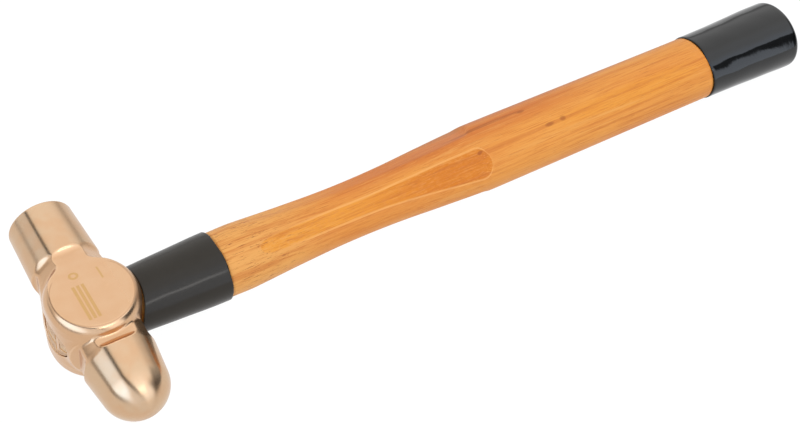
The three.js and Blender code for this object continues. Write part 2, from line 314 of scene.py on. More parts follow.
def turned_field(p):
    """Barrel and ball pein, turned about Y."""
    x, y, z = p[..., 0], p[..., 1], p[..., 2]
    rho = np.hypot(x, z)
    stations = [*NECK_SWELL, (FACE_Y, FACE_RADIUS)]
    radius = np.interp(y, [s[0] for s in stations], [s[1] for s in stations])
    u = rho - (radius - FACE_EDGE)
    v = y - (FACE_Y - FACE_EDGE)
    outside = np.hypot(np.maximum(u, 0), np.maximum(v, 0))
    barrel = outside + np.minimum(np.maximum(u, v), 0) - FACE_EDGE
    run = PEIN_ROOT_Y - PEIN_BALL_Y
    reach = math.hypot(run, PEIN_ROOT_RADIUS)
    turn = math.atan2(PEIN_ROOT_RADIUS, run) + math.acos(PEIN_BALL_RADIUS / reach)
    across, along = math.sin(turn), math.cos(turn)
    w = y - PEIN_BALL_Y
    cone = across * rho + along * w - PEIN_BALL_RADIUS
    ball = np.hypot(rho, w) - PEIN_BALL_RADIUS
    pein = np.where(-along * rho + across * w < 0, ball, cone)
    return np.where(y < PEIN_ROOT_Y, pein, barrel)


def shoulder_rise(y):
    """How far the neck's flats climb as they run from the barrel on to the cheek."""
    share = np.clip((y - SHOULDER_START_Y) / (BARREL_NECK_Y - SHOULDER_START_Y), 0, 1)
    inner, outer = SHOULDER_CURVE
    climb = SHOULDER_RISE * (1 - share ** inner) ** outer
    return climb * np.clip((y - SHOULDER_FADE_Y) / SHOULDER_FADE_RUN, 0, 1)


def flat_cut(p, angle, depth, fillet, low_y, high_y):
    """One long flat along the neck, negative in the metal it takes away."""
    height = math.sin(angle) * p[..., 0] + math.cos(angle) * p[..., 2] - depth
    middle, half = (low_y + high_y) / 2, (high_y - low_y) / 2
    u = np.abs(p[..., 1] - middle) - half
    v = fillet - height
    outside = np.hypot(np.maximum(u, 0), np.maximum(v, 0))
    return outside + np.minimum(np.maximum(u, v), 0) - fillet


def boss_field(p):
    """Round eye boss about Z. Its rounded rim ends at a crisp edge round each flat cheek."""
    x, y, z = p[..., 0], np.abs(p[..., 1]), np.abs(p[..., 2])
    level = np.clip((HALF_THICKNESS - z) / SQUARE_DEPTH, 0, 1)
    power = 2 + (BOSS_SQUARENESS - 2) * level * (x < 0)
    rho = (np.abs(x) ** power + y ** power) ** (1 / power)
    a, b = RIM_HALF_AXES
    u = rho - RIM_CENTRE[0]
    v = np.maximum(z - RIM_CENTRE[1], 0)
    k = np.hypot(u / a, v / b)
    spread = np.hypot(u / a ** 2, v / b ** 2)
    rim = (k - 1) * k / np.maximum(spread, 1e-9)
    return np.where(u > 0, rim, np.maximum(u - a, z - RIM_CENTRE[1] - b))


def eye_half(x, inset=0.0):
    """The eye's half-lengths along Y and Z at x."""
    share = np.clip(np.abs(x) / BOSS_RADIUS, 0, 1.1) ** 2
    return [
        waist + (np.where(x < 0, crown, under) - waist) * share - inset
        for waist, crown, under in zip(EYE_WAIST, EYE_CROWN, EYE_UNDER)
    ]


def eye_field(p):
    a, b = eye_half(p[..., 0])
    y, z = p[..., 1], p[..., 2]
    k = np.hypot(y / a, z / b)
    spread = np.hypot(y / a ** 2, z / b ** 2)
    return (k - 1) * k / np.maximum(spread, 1e-9)


def head_field(p):
    """The whole head: turned stock with a boss, eight flats on the neck and an oval eye."""
    x, y, z = p[..., 0], p[..., 1], np.abs(p[..., 2])
    barrel_side = y > 0
    rise = shoulder_rise(y)
    pein_extra = np.where(x > 0, PEIN_CORNER_EXTRA["butt"], PEIN_CORNER_EXTRA["crown"])
    corner_depth = NECK_CORNER + np.where(barrel_side, 0.0, pein_extra)
    corner_soft = np.where(barrel_side, BARREL_CORNER_SOFT, PEIN_CORNER_SOFT)
    body = turned_field(p)
    for i in range(8):
        low_y, high_y, depth, soft = PEIN_NECK_Y, BARREL_NECK_Y, NECK_FLAT + rise, CRISP
        if i % 2 == 1:
            low_y, high_y = low_y - CORNER_OVERRUN["pein"], high_y + CORNER_OVERRUN["barrel"]
            depth, soft = corner_depth + CORNER_RISE_SHARE * rise, corner_soft
        elif i == FLAT_BY_SLEEVE:
            depth = NECK_FLAT
        elif i % 4 == 0:
            high_y = 0.0
        cut = flat_cut(p, math.pi / 4 * i, depth, FLAT_FILLET, low_y, high_y)
        body = smooth_max(body, -cut, soft)
    boss_soft = np.where(barrel_side, BARREL_BOSS_SOFT, PEIN_BOSS_SOFT)
    body = smooth_min(body, boss_field(p), boss_soft)
    upright = np.stack([0 * z, y, z], axis=-1)
    top = flat_cut(upright, 0.0, NECK_FLAT + rise, FLAT_FILLET, 0.0, BARREL_NECK_Y)
    margin = SHOULDER_MARGIN * np.clip(1 - y / SHOULDER_MARGIN_RUN, 0, 1) ** 2
    body = smooth_max(body, np.where(barrel_side, -top - margin, DEEP_INSIDE), CRISP)
    body = smooth_max(body, z - HALF_THICKNESS, CHEEK_SOFT)
    return smooth_max(body, -eye_field(p), EYE_SOFT)


def make_head():
    """Barrel, boss and pein in one casting, with the lathe-turned faces in a second slot.

    The attributes edge and hollow_shade say how sharply the surface bends outward and inward.
    hollow_shade paints shade into the hollows of the bronze.
    """
    cell = HEAD_CELL
    points, faces = polygonise(head_field, *HEAD_BOX, cell)
    for _ in range(4):
        gradient = slope_of(head_field, points)[0]
        size = np.maximum((gradient ** 2).sum(1), 0.05)
        points -= gradient * (head_field(points) / size)[:, None]
    gradient, laplacian = slope_of(head_field, points, 0.05)
    normals = gradient / np.linalg.norm(gradient, axis=1)[:, None]
    y = points[:, 1]
    on_lathe = np.abs(turned_field(points)) < ON_LATHE_WITHIN
    off_neck = (y > BARREL_NECK_Y) | (y < PEIN_NECK_Y - 1)
    turned = (on_lathe & off_neck).astype(float)
    head = add_mesh("bronze_head", points, faces, normals, {
        "turned": turned,
        "edge": np.clip(laplacian / 1.6 - 0.12, 0, 1),
        "hollow_shade": np.clip(-laplacian / 0.5, 0, 1),
    })
    share = turned[faces].mean(1)
    head.data.polygons.foreach_set("material_index", (share > 0.6).astype(np.int32))
    return head


# ---------- handle ----------

sleeve_half_y = profile([(SLEEVE_START_X, 12.6), (30, 13.4), (SLEEVE_END_X, 14.2)])
wood_half_y = profile([
    (SLEEVE_END_X, 13.35),
    (59, 13.5),
    (63, 13.35),
    (82, 12.35),
    (103, 11.7),
    (125, 12.1),
    (147, 13.5),
    (166, 14.8),
    (178, 14.9),
    (200, 14.85),
    (DIP_START_X, 14.65),
])
dip_half_y = profile([(DIP_START_X, 15.05), (BUTT_X - BUTT_EDGE, 16.0)])
ovality = profile([(0, 0.93), (50, 0.93), (160, 0.87), (BUTT_X, 0.87)])

# four long flats shaved off the waist: how far each faces round from Z, and its depth as a
# share of the half-width
flat_lean = profile([(66, 0.58), (117, 0.60), (140, 0.65), (162, 0.73), (175, 0.75)])
flat_share = profile([
    (60, -0.05),
    (66, 0.012),
    (75, 0.032),
    (97, 0.044),
    (117, 0.047),
    (138, 0.076),
    (160, 0.115),
    (165, 0.105),
    (170.5, -0.05),
])


def oval(x, half_y, half_z, sides, flat=None):
    """A ring across X. A (lean, share) pair shaves four flats off it, with soft ridges."""
    angle = np.linspace(0, 2 * np.pi, sides, endpoint=False)
    y, z = np.cos(angle), np.sin(angle)
    if flat is not None:
        lean, share = flat
        height = np.abs(y) * np.sin(lean) + np.abs(z) * np.cos(lean)
        keep = smooth_min(1 + 0 * height, (1 - share) / np.maximum(height, 0.2), 0.03)
        y, z = keep * y, keep * z
    return np.stack([np.broadcast_to(x, y.shape), half_y * y, half_z * z], axis=1)


def dip_outer_half(x):
    into = np.clip((x - (BUTT_X - BUTT_EDGE)) / BUTT_EDGE, 0, 1)
    return dip_half_y(x) - BUTT_EDGE * (1 - np.sqrt(1 - into ** 2))


def apply_modifiers(piece):
    """Bakes the modifiers into the mesh, which keeps its name."""
    name = piece.data.name
    depsgraph = bpy.context.evaluated_depsgraph_get()
    mesh = bpy.data.meshes.new_from_object(piece.evaluated_get(depsgraph))
    mesh.name = name
    piece.modifiers.clear()
    piece.data = mesh


def tapered_block(start_x, end_x, y, start_half, end_half):
    """Points and faces of a block that tapers along X between two rectangles."""
    rings = []
    for x, (half_y, half_z) in ((start_x, start_half), (end_x, end_half)):
        corners = ((1, 1), (-1, 1), (-1, -1), (1, -1))
        rings.append([(x, y + sy * half_y, sz * half_z) for sy, sz in corners])
    return loft(rings)


def cut_away(piece, cutters):
    for cutter in cutters:
        cut = piece.modifiers.new("cut", "BOOLEAN")
        cut.operation = "DIFFERENCE"
        cut.solver = "EXACT"
        cut.object = cutter
    apply_modifiers(piece)
    for cutter in cutters:
        bpy.data.objects.remove(cutter)


def crown_trimmer(radius):
    """What is dressed off the tenon and the wedges, so that they follow the round boss."""
    power = BOSS_SQUARENESS
    outline = []
    for a in np.linspace(-CROWN_HALF_TURN, CROWN_HALF_TURN, 61):
        plan = (abs(math.cos(a)) ** power + abs(math.sin(a)) ** power) ** (1 / power)
        outline.append((-radius * math.cos(a) / plan, radius * math.sin(a) / plan))
    back_x = -BOSS_RADIUS - 9
    outline += [(back_x, outline[-1][1]), (back_x, outline[0][1])]
    rings = [[(x, y, z) for x, y in outline] for z in (-CROWN_HALF_Z, CROWN_HALF_Z)]
    return add_mesh("crown_trimmer", *loft(rings))


def kerf_cutter():
    across = 2 * EYE_CROWN[0]
    halves = [half + GAP for half in EYE_WEDGE_HALF]
    block = tapered_block(
        TENON_END_X - 2,
        TENON_END_X + EYE_WEDGE_DEPTH + GAP,
        0,
        (across, halves[0]),
        (across, halves[1]),
    )
    return add_mesh("kerf_cutter", *block)


def cross_block(y, clearance):
    halves = [half + clearance for half in CROSS_WEDGE_HALF]
    width = CROSS_WEDGE_HALF_WIDTH + clearance
    return tapered_block(
        TENON_END_X - (1 if clearance else 0),
        TENON_END_X + CROSS_WEDGE_DEPTH + clearance,
        y,
        (halves[0], width),
        (halves[1], width),
    )


def slot_cutters():
    places = (-CROSS_WEDGE_Y, CROSS_WEDGE_Y)
    return [add_mesh("slot_cutter", *cross_block(y, GAP)) for y in places]


def make_handle():
    sides = 160
    under_sleeve = SLEEVE_WALL + GAP
    under_dip = DIP_WALL + GAP
    wood_end_x = BUTT_X - under_dip
    rings = []
    for x in np.linspace(TENON_END_X - 1, TENON_ROOT_X, 12):
        rings.append(oval(x, *eye_half(x, GAP), sides))
    for x in np.linspace(SHOULDER_X, SLEEVE_END_X + GAP, 8):
        half = sleeve_half_y(x)
        rings.append(oval(x, half - under_sleeve, half * ovality(x) - under_sleeve, sides))
    for x in np.linspace(SLEEVE_END_X + 2 * GAP, DIP_START_X - 2 * GAP, 300):
        half = wood_half_y(x)
        half_z = half * ovality(x)
        rings.append(oval(x, half, half_z, sides, (flat_lean(x), flat_share(x))))
    turned_in = np.linspace(BUTT_X - BUTT_EDGE, wood_end_x, 4)[1:]
    for x in [*np.linspace(DIP_START_X - GAP, BUTT_X - BUTT_EDGE, 6), *turned_in]:
        half = dip_outer_half(x)
        rings.append(oval(x, half - under_dip, half * ovality(x) - under_dip, sides))
    handle = add_mesh("hickory_handle", *loft(rings))
    cut_away(handle, [crown_trimmer(-TENON_END_X), kerf_cutter(), *slot_cutters()])
    count = len(handle.data.vertices)
    at = np.zeros(count * 3)
    handle.data.vertices.foreach_get("co", at)
    at = (at.reshape(count, 3) - np.array(EYE)) / MM
    half = wood_half_y(at[:, 0])
    half_z = half * ovality(at[:, 0])
    lean = np.arctan2(np.abs(at[:, 1]) / half, np.abs(at[:, 2]) / half_z)
    share = flat_share(at[:, 0])
    reach = np.sign(share) * np.sqrt(2 * np.abs(share))
    from_ridge = half * (np.abs(lean - flat_lean(at[:, 0])) - reach)
    set_attribute(handle.data, "from_ridge", from_ridge)
    return handle


def make_wedges():
    half_y = EYE_WAIST[0] - 3 * GAP
    crown, tip = EYE_WEDGE_HALF
    wedge = add_mesh("eye_wedge_wood", *tapered_block(
        TENON_END_X, TENON_END_X + EYE_WEDGE_DEPTH, 0, (half_y, crown), (half_y, tip)
    ))
    cut_away(wedge, [crown_trimmer(-TENON_END_X - 0.1), *slot_cutters()])
    cross = []
    for y, side in ((-CROSS_WEDGE_Y, "near"), (CROSS_WEDGE_Y, "far")):
        cross.append(add_mesh(f"cross_wedge_{side}_metal", *cross_block(y, 0)))
        cut_away(cross[-1], [crown_trimmer(-TENON_END_X - 0.05)])
    for piece in [wedge, *cross]:
        edge = piece.modifiers.new("edge", "BEVEL")
        edge.width = 0.12 * MM
        edge.segments = 2
        apply_modifiers(piece)
        piece.data.polygons.foreach_set("use_smooth", [False] * len(piece.data.polygons))
    return wedge, cross


# ---------- sleeve and dipped butt ----------

def ripple(angle, x, seed):
    """A slow uneven swell of about one unit over the surface, the same in every run."""
    return (
        np.sin(2 * angle + 0.11 * x + seed)
        + 0.7 * np.sin(3 * angle - 0.17 * x + 2.1 * seed)
        + 0.5 * np.sin(5 * angle + 0.31 * x + 0.7 * seed)
        + 0.35 * np.sin(9 * angle - 0.43 * x + 1.3 * seed)
    ) / 2


def make_sleeve():
    """A tube whose head end is scooped round the boss, with softly rounded lips."""
    sides = 144
    angle = np.linspace(0, 2 * np.pi, sides, endpoint=False)
    scoop = BOSS_RADIUS + GAP
    mouth_half_y = sleeve_half_y(14.0)

    def ring(share, inset, end_pull=0.0):
        start_y = (mouth_half_y - inset) * np.cos(angle)
        off = np.minimum(np.abs(start_y), scoop - 4) / scoop
        start = scoop * (1 - off ** BOSS_SQUARENESS) ** (1 / BOSS_SQUARENESS)
        end = SLEEVE_END_X + 0.12 * np.sin(3 * angle + 1) + 0.1 * np.sin(7 * angle)
        x = start + (end - start) * share + end_pull
        half = sleeve_half_y(x)
        swell = 0.05 * ripple(angle, x, 4.0) * (inset < 0.5)
        y = (half - inset + swell) * np.cos(angle)
        z = (half * ovality(x) - inset + swell) * np.sin(angle)
        return np.stack([x, y, z], axis=1)

    wall = SLEEVE_WALL
    rings = [ring(0, 0.28, 0.0), ring(0, 0.1, 0.1), ring(0, 0, 0.3)]
    rings += [ring(share, 0) for share in np.linspace(0.02, 0.985, 40)]
    rings += [ring(1, 0, -0.3), ring(1, 0.1, -0.08), ring(1, 0.3, 0.0)]
    rings += [ring(1, wall - 0.15, 0.0), ring(1, wall, -0.2)]
    rings += [ring(share, wall) for share in np.linspace(0.97, 0.03, 12)]
    rings += [ring(0, wall, 0.2), ring(0, wall - 0.15, 0.0)]
    points, faces = loft(rings, closed=True)
    return add_mesh("rubber_sleeve", points, faces)


def make_dip():
    """A cup of thick glossy coating, with a slow ripple and a rounded lip on the wood.

    Outer and inner skins are lofted apart, lose their caps at the mouth and are joined there.
    """
    sides = 160
    angle = np.linspace(0, 2 * np.pi, sides, endpoint=False)
    lip_line = 0.25 * np.sin(2 * angle + 0.6) + 0.15 * np.sin(5 * angle)

    def ring(x, inset, wavy=1.0):
        near_lip = np.clip((DIP_START_X + 12 - x) / 12, 0, 1)
        at = x + lip_line * near_lip ** 2
        half = dip_outer_half(x)
        swell = wavy * 0.09 * ripple(angle, at, 1.7)
        y = (half - inset + swell) * np.cos(angle)
        z = (half * ovality(x) - inset + swell) * np.sin(angle)
        return np.stack([at, y, z], axis=1)

    wall = DIP_WALL
    start = DIP_START_X
    rings = [ring(start + 0.05, wall - 0.2), ring(start, 0.45), ring(start + 0.08, 0.2)]
    rings += [ring(start + 0.25, 0.05), ring(start + 0.5, 0)]
    rings += [ring(x, 0) for x in np.linspace(start + 1.5, BUTT_X - BUTT_EDGE, 48)]
    for turn in np.linspace(0, np.pi / 2, 12)[1:]:
        x = BUTT_X - BUTT_EDGE * (1 - math.sin(turn))
        rings.append(ring(x, 0, math.cos(turn)))
    rim = rings[-1]
    for share in np.linspace(1, 0, 14)[1:-1]:
        rings.append(rim * np.array([1, share, share]))
    points, faces = loft(rings)
    inner = []
    floor_x = BUTT_X - wall
    for x in [*np.linspace(start + 0.25, BUTT_X - BUTT_EDGE, 14), floor_x - 0.9, floor_x]:
        inner.append(ring(x, wall))
    bore, bore_faces = loft(inner)
    outer_count = len(points)
    mouth = tuple(range(sides - 1, -1, -1))
    faces = [f for f in faces if f != mouth]
    bore_faces = [f for f in bore_faces if f != mouth]
    points = np.concatenate([points, bore])
    faces += [tuple(v + outer_count for v in reversed(f)) for f in bore_faces]
    for i in range(sides):
        j = (i + 1) % sides
        faces.append((j, i, outer_count + i, outer_count + j))
    return add_mesh("butt_dip_coat", points, faces)


# ---------- shader helpers ----------

class Tree:
    """A node tree that is written as nested calls. Inputs take a socket or a plain value."""

    def __init__(self, tree):
        self.tree = tree
        tree.nodes.clear()

    def add(self, kind, inputs=None, **settings):
        node = self.tree.nodes.new(kind)
        for key, value in settings.items():
            setattr(node, key, value)
        for key, value in (inputs or {}).items():
            self.feed(node.inputs[key], value)
        return node

    def feed(self, socket, value):
        if isinstance(value, bpy.types.NodeSocket):
            self.tree.links.new(value, socket)
        else:
            socket.default_value = value

    def math(self, operation, a, b=0.0, c=0.0):
        inputs = {0: a, 1: b, 2: c}
        return self.add("ShaderNodeMath", inputs, operation=operation).outputs[0]

    def within(self, value, low, high):
        """0 below low, 1 above high and a smooth step between them."""
        return self.add("ShaderNodeMapRange", {
            "Value": value, "From Min": low, "From Max": high,
        }, interpolation_type="SMOOTHSTEP").outputs[0]

    def hypot(self, a, b):
        return self.math("SQRT", self.math("ADD", self.times(a, a), self.times(b, b)))

    def times(self, *values):
        out = values[0]
        for value in values[1:]:
            out = self.math("MULTIPLY", out, value)
        return out

    def mix(self, factor, a, b):
        node = self.add("ShaderNodeMix", data_type="RGBA")
        self.feed(node.inputs[0], factor)
        self.feed(node.inputs[6], a)
        self.feed(node.inputs[7], b)
        return node.outputs[2]

    def noise(self, vector, scale, detail=3.0, roughness=0.5, distortion=0.0):
        return self.add("ShaderNodeTexNoise", {
            "Vector": vector,
            "Scale": scale,
            "Detail": detail,
            "Roughness": roughness,
            "Distortion": distortion,
        }).outputs[0]

    def stretched(self, vector, scale, shift=(0, 0, 0)):
        return self.add("ShaderNodeMapping", {
            "Vector": vector, "Scale": scale, "Location": shift,
        }).outputs[0]

    def bump(self, height, distance, strength=1.0, normal=None):
        inputs = {"Height": height, "Distance": distance * MM, "Strength": strength}
        if normal is not None:
            inputs["Normal"] = normal
        return self.add("ShaderNodeBump", inputs).outputs[0]


def new_material(name):
    material = bpy.data.materials.new(name)
    material.use_nodes = True
    return material, Tree(material.node_tree)


def surface(tree, **inputs):
    """The finished surface. Names use _ for a space."""
    named = {key.replace("_", " "): value for key, value in inputs.items()}
    shader = tree.add("ShaderNodeBsdfPrincipled", named)
    tree.add("ShaderNodeOutputMaterial", {"Surface": shader.outputs[0]})


def place(tree):
    """Position in millimetres about the eye."""
    at = tree.add("ShaderNodeTexCoord").outputs["Object"]
    moved = tree.add("ShaderNodeVectorMath", {0: at, 1: tuple(-EYE)}, operation="ADD")
    scaled = tree.add("ShaderNodeVectorMath", {0: moved.outputs[0]}, operation="SCALE")
    scaled.inputs["Scale"].default_value = 1 / MM
    return scaled.outputs[0]


def split(tree, vector):
    return tree.add("ShaderNodeSeparateXYZ", {0: vector}).outputs


def srgb(red, green, blue):
    """A display colour, 0 to 255, as linear light."""
    parts = []
    for part in (red, green, blue):
        part = part / 255
        parts.append(part / 12.92 if part <= 0.04045 else ((part + 0.055) / 1.055) ** 2.4)
    return (*parts, 1.0)


# ---------- materials ----------

BRONZE = (0.62, 0.395, 0.235, 1)
BRONZE_TURNED = (0.60, 0.415, 0.262, 1)
# a redder bronze, for the random tone and for the painted shade in the hollows
BRONZE_RED_TONE_AND_SHADE = (0.60, 0.36, 0.20, 1)
BRONZE_WORN = (0.74, 0.50, 0.32, 1)
# the colour of the etching, also used for the painted shade of the crease
BRONZE_ETCHED_AND_CREASE_SHADE = (0.52, 0.31, 0.11, 1)
# a darker bronze for the painted shade of the groove round the cheeks
BRONZE_GROOVE_SHADE = (0.42, 0.24, 0.13, 1)

WOOD_GOLD = srgb(203, 132, 56)
WOOD_ORANGE = srgb(197, 121, 49)
WOOD_PALE = srgb(205, 146, 76)
WOOD_RED = srgb(186, 102, 39)
WOOD_OCHRE = srgb(204, 130, 39)
WOOD_DEEP = srgb(188, 103, 8)
WOOD_STREAK = srgb(172, 90, 31)
# grey-brown for the painted sheen on the far side
WOOD_GREY_SHEEN = srgb(150, 106, 68)
WOOD_DARK = srgb(120, 54, 21)
# pale colour for the painted highlight along the flat's ridge
WOOD_RIDGE_HIGHLIGHT = srgb(222, 164, 94)
# centre and half-size of each small knot, seen from above
WOOD_KNOTS = (
    ((191.5, 4.6), (2.2, 0.9)),
    ((164.9, -5.6), (1.3, 0.7)),
    ((199.0, -6.1), (2.4, 0.9)),
    ((205.8, -5.9), (1.6, 1.1)),
)


RING_CENTRE = (-3.0, 9.6)
RING_INNER, RING_OUTER = 0.8, 2.0
BAR_FIRST_X, BAR_SPACING = -6.4, 0.9


def etching_and_crease_shade(t, x, y, z):
    """A plain ring and a block of plain bars on the cheeks, made by etching, with no lettering.

    The short line is no mark. It is painted shade for a faint crease, where a corner of the neck
    runs on to the cheek, and it has no relief.
    """
    radius = t.hypot(t.math("SUBTRACT", x, RING_CENTRE[0]), t.math("SUBTRACT", y, RING_CENTRE[1]))
    height = t.math("ABSOLUTE", z)
    on_cheek = t.within(height, HALF_THICKNESS - 0.3, HALF_THICKNESS - 0.1)
    near_cheek = t.within(height, 13.5, 14.5)
    ring = t.times(
        t.within(radius, RING_INNER, RING_INNER + 0.2),
        t.within(radius, RING_OUTER, RING_OUTER - 0.2),
        near_cheek,
    )
    bars = t.math("PINGPONG", t.math("SUBTRACT", x, BAR_FIRST_X), BAR_SPACING)
    block = t.times(
        t.within(bars, 0.24, 0.36),
        t.within(y, -11.2, -10.9),
        t.within(y, 4.8, 4.5),
        t.within(x, -6.5, -6.4),
        t.within(x, -1.0, -1.1),
        on_cheek,
    )
    # painted shade: a darker line along a faint crease where a corner of the neck meets the cheek
    line = t.times(
        t.within(x, 5.5, 5.7),
        t.within(x, 6.4, 6.2),
        t.within(y, 3.5, 4.0),
        t.within(y, 9.9, 9.5),
        near_cheek,
    )
    return t.math("MAXIMUM", t.math("MAXIMUM", ring, line), block)


def groove_shade_ring(t, x, y, z):
    """Painted shade: a faint darker ring just outside the ground cheeks, standing in for the shade
    of a fine groove that has no relief.
    """
    radius = t.hypot(x, y)
    on_rim = t.within(t.math("ABSOLUTE", z), 15.0, 15.4)
    return t.times(t.within(radius, 14.6, 14.85), t.within(radius, 15.3, 15.1), on_rim)


def bronze(name, turned):
    """Non-sparking copper alloy, lathe-turned or satin-ground."""
    material, t = new_material(name)
    p = place(t)
    x, y, z = split(t, p)
    cloud = t.noise(p, 0.12, 4)
    edge = t.add("ShaderNodeAttribute", attribute_name="edge").outputs["Fac"]
    hollow_shade = t.add("ShaderNodeAttribute", attribute_name="hollow_shade").outputs["Fac"]
    ground = BRONZE_TURNED if turned else BRONZE
    colour = t.mix(t.times(t.within(cloud, 0.35, 0.65), 0.6), ground, BRONZE_RED_TONE_AND_SHADE)
    colour = t.mix(t.times(edge, 0.6), colour, BRONZE_WORN)
    # painted shade: where the surface bends inward it is mixed toward a redder, darker bronze,
    # standing in for shade and bronze-on-bronze reflection in the fillets
    colour = t.mix(t.times(hollow_shade, 0.35), colour, BRONZE_RED_TONE_AND_SHADE)
    if turned:
        rings = t.noise(t.stretched(p, (0.25, 3.2, 0.25)), 1.0, 4, 0.65)
        normal = t.bump(rings, 0.012, 0.5)
        rough = t.math("ADD", 0.21, t.times(rings, 0.08))
        tangent = t.add("ShaderNodeTangent", direction_type="RADIAL", axis="Y").outputs[0]
        surface(
            t,
            Base_Color=colour,
            Metallic=1.0,
            Roughness=rough,
            Anisotropic=0.9,
            Anisotropic_Rotation=0.25,
            Tangent=tangent,
            Normal=normal,
        )
        return material
    # the etched ring and bars, and the painted shade of the crease
    colour = t.mix(t.times(etching_and_crease_shade(t, x, y, z), 0.75), colour, BRONZE_ETCHED_AND_CREASE_SHADE)
    # painted shade of a fine groove round the cheeks
    colour = t.mix(t.times(groove_shade_ring(t, x, y, z), 0.5), colour, BRONZE_GROOVE_SHADE)
    speck = t.noise(p, 1.9, 3, 0.6)
    scratch = t.noise(t.stretched(p, (2.4, 0.35, 0.8)), 1.6, 3, 0.6)
    normal = t.bump(t.math("ADD", t.times(scratch, 0.6), t.times(speck, 0.4)), 0.010, 0.15)
    by_sleeve = t.within(x, 7, 13)
    wear = t.math("ADD", t.times(speck, 0.06), t.times(by_sleeve, 0.10))
    rough = t.math("ADD", 0.20, wear)
    surface(
        t,
        Base_Color=colour,
        Metallic=1.0,
        Roughness=t.math("SUBTRACT", rough, t.times(edge, 0.08)),
        Normal=normal,
    )
    return material


def blot(t, x, y, centre, half):
    """A soft oval patch, 1 in the middle and 0 outside."""
    across = t.math("DIVIDE", t.math("SUBTRACT", x, centre[0]), half[0])
    up = t.math("DIVIDE", t.math("SUBTRACT", y, centre[1]), half[1])
    away = t.math("ADD", t.times(across, across), t.times(up, up))
    return t.within(away, 1.3, 0.1)


def hickory(name):
    """Lacquered hickory, its grain running along X.

    The shaved flat on the near side is a deeper ochre, with a pale painted highlight along its
    ridge.
    The far side carries a painted grey sheen.
    """
    material, t = new_material(name)
    p = place(t)
    x, y, z = split(t, p)
    zones = t.noise(t.stretched(p, (0.012, 0.09, 0.09), (3, 1, 2)), 1.0, 3)
    bands = t.noise(t.stretched(p, (0.009, 0.42, 0.42), (1, 7, 4)), 1.0, 4, 0.6, 0.4)
    fine = t.noise(t.stretched(p, (0.07, 2.2, 2.2)), 1.0, 4, 0.65)
    fleck = t.noise(t.stretched(p, (0.45, 1.6, 1.6), (4, 4, 4)), 1.0, 3, 0.6)
    pores = t.noise(t.stretched(p, (0.16, 3.4, 3.4), (9, 2, 5)), 1.0, 2, 0.7)
    warped = t.math("ADD", y, t.times(t.math("SUBTRACT", bands, 0.5), 4.0))
    ridge = t.add("ShaderNodeAttribute", attribute_name="from_ridge").outputs["Fac"]
    near = t.within(y, 1.0, -1.0)
    flat = t.times(t.within(ridge, 0.3, -0.3), near)
    # painted highlight: a pale line along the ridge of the near flat
    line = t.times(
        t.within(t.math("ABSOLUTE", ridge), 0.6, 0.2),
        near,
        t.within(x, 72, 90),
        t.within(x, 170, 166),
    )

    # broad tones: paler toward the head, redder past the waist, ochre on the near half
    colour = t.mix(t.within(zones, 0.38, 0.64), WOOD_GOLD, WOOD_ORANGE)
    colour = t.mix(t.times(t.within(x, 105, 62), 0.8), colour, WOOD_PALE)
    red = t.times(
        t.within(warped, -3.5, 3.0), t.within(x, 75, 120), t.within(x, 250, 185), 0.85,
    )
    colour = t.mix(red, colour, WOOD_RED)
    ochre = t.times(blot(t, x, warped, (242, -7), (46, 4.5)), 0.6)
    colour = t.mix(ochre, colour, WOOD_OCHRE)

    # the shaved flat
    deep = t.mix(t.within(x, 96, 150), WOOD_OCHRE, WOOD_DEEP)
    colour = t.mix(t.times(flat, t.within(fleck, 0.2, 0.6), 0.9), colour, deep)

    # grain, from wide bands to fine lines and flecks
    colour = t.mix(t.times(t.within(bands, 0.5, 0.68), 0.5), colour, WOOD_STREAK)
    colour = t.mix(t.times(t.within(bands, 0.45, 0.3), 0.4), colour, WOOD_PALE)
    colour = t.mix(t.times(t.within(fine, 0.50, 0.70), 0.62), colour, WOOD_STREAK)
    colour = t.mix(t.times(t.within(fine, 0.46, 0.30), 0.35), colour, WOOD_PALE)
    colour = t.mix(t.times(t.within(fleck, 0.58, 0.75), 0.3), colour, WOOD_PALE)
    # painted reflection: the far side, from y 8.5 to 13.5, is mixed halfway toward a dull
    # grey-brown in place of the lacquer's grazing sheen
    colour = t.mix(t.times(t.within(y, 8.5, 13.5), 0.5), colour, WOOD_GREY_SHEEN)

    # a dark streak, the knots, the pores, and a painted highlight along the ridge
    knots = t.times(blot(t, x, y, (173, 5.2), (21, 1.0)), t.within(fine, 0.25, 0.55))
    for centre, half in WOOD_KNOTS:
        knots = t.math("MAXIMUM", knots, blot(t, x, y, centre, half))
    colour = t.mix(t.times(knots, t.within(z, 2, 5), 0.5), colour, WOOD_DARK)
    dots = t.times(t.within(pores, 0.60, 0.70), t.math("ADD", 0.35, t.within(x, 95, 62)))
    colour = t.mix(t.math("MINIMUM", t.times(dots, 0.8), 1.0), colour, WOOD_DARK)
    colour = t.mix(t.times(line, 0.38), colour, WOOD_RIDGE_HIGHLIGHT)
    height = t.math("SUBTRACT", t.times(fine, 0.5), t.within(pores, 0.6, 0.72))
    surface(
        t,
        Base_Color=colour,
        Roughness=t.math("ADD", 0.40, t.times(fine, 0.12)),
        Specular_IOR_Level=0.2,
        Normal=t.bump(height, 0.06, 0.4),
    )
    return material


def rubber(name):
    """The sleeve's matt black rubber, with a thin waxy sheen."""
    material, t = new_material(name)
    p = place(t)
    cloud = t.noise(p, 0.25, 3)
    grain = t.noise(p, 3.5, 3, 0.6)
    surface(
        t,
        Base_Color=t.mix(cloud, (0.014, 0.0102, 0.006, 1), (0.018, 0.0135, 0.0085, 1)),
        Roughness=t.math("ADD", 0.36, t.times(grain, 0.12)),
        Specular_IOR_Level=0.1,
        Coat_Weight=0.36,
        Coat_Roughness=0.15,
        Normal=t.bump(t.math("ADD", grain, t.times(cloud, 2.0)), 0.02, 0.3),
    )
    return material


